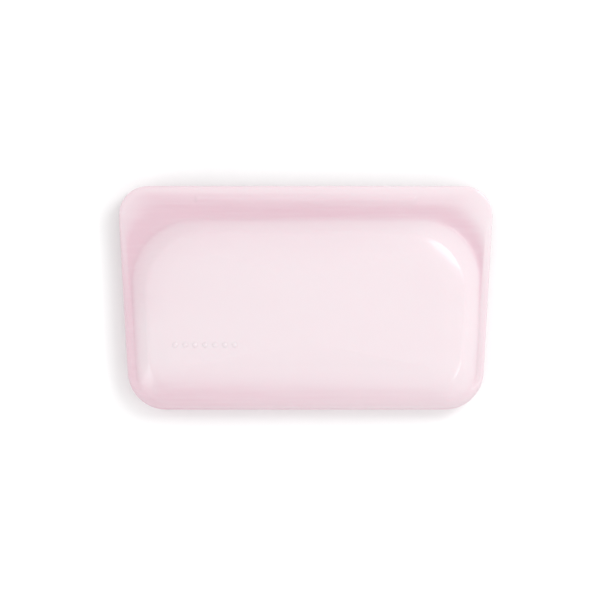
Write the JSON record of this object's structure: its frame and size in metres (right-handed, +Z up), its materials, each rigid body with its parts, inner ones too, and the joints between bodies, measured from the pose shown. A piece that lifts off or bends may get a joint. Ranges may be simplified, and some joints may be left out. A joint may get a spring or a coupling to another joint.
{
  "type": "reusable silicone bag",
  "caption": "Small press-to-close food storage bag moulded in translucent silicone, with a pillow-shaped pouch, flat pull lips and a rib-and-channel seal, lying closed on its back.",
  "frame": {"origin": "centre of the bounding box, on the surface that the bag lies on", "axes": "+X across the bag, +Y from the bottom seam towards the mouth, +Z up from the rear wall to the front wall"},
  "size_m": [0.1904, 0.1142, 0.0225],
  "materials": {
    "front_wall": "soft satin, milky translucent silicone",
    "rear_wall": "soft satin, milky translucent silicone",
    "front_lip": "soft satin, milky translucent silicone",
    "rear_lip": "soft satin, milky translucent silicone",
    "seal": "soft satin, denser pink where the silicone is thick",
    "grip_band": "soft satin, denser pink where the silicone is thick",
    "seam": "soft satin, denser pink where the two walls join"
  },
  "bodies": {
    "rear_half": {"rear_panel": "rear_wall", "left_side_seam": "seam", "right_side_seam": "seam", "bottom_seam": "seam"},
    "front_half": {"front_panel": "front_wall", "front_lip": "front_lip", "seal_rib": "seal", "grip_band": "grip_band"},
    "rear_lip_flap": {"rear_lip": "rear_lip", "seal_channel": "seal"}
  },
  "joints": [
    {"name": "mouth_open", "type": "hinge", "parent": "rear_half", "child": "front_half", "pos_m": [0, -0.05715, 0.0095], "axis": [1, 0, 0], "range_deg": [0, 20], "stiffness_Nm_per_rad": 0.05},
    {"name": "rear_lip_flex", "type": "hinge", "parent": "rear_half", "child": "rear_lip_flap", "pos_m": [0, 0.04015, 0.008], "axis": [-1, 0, 0], "range_deg": [0, 20], "stiffness_Nm_per_rad": 0.03, "springref_deg": -1.15}
  ]
}
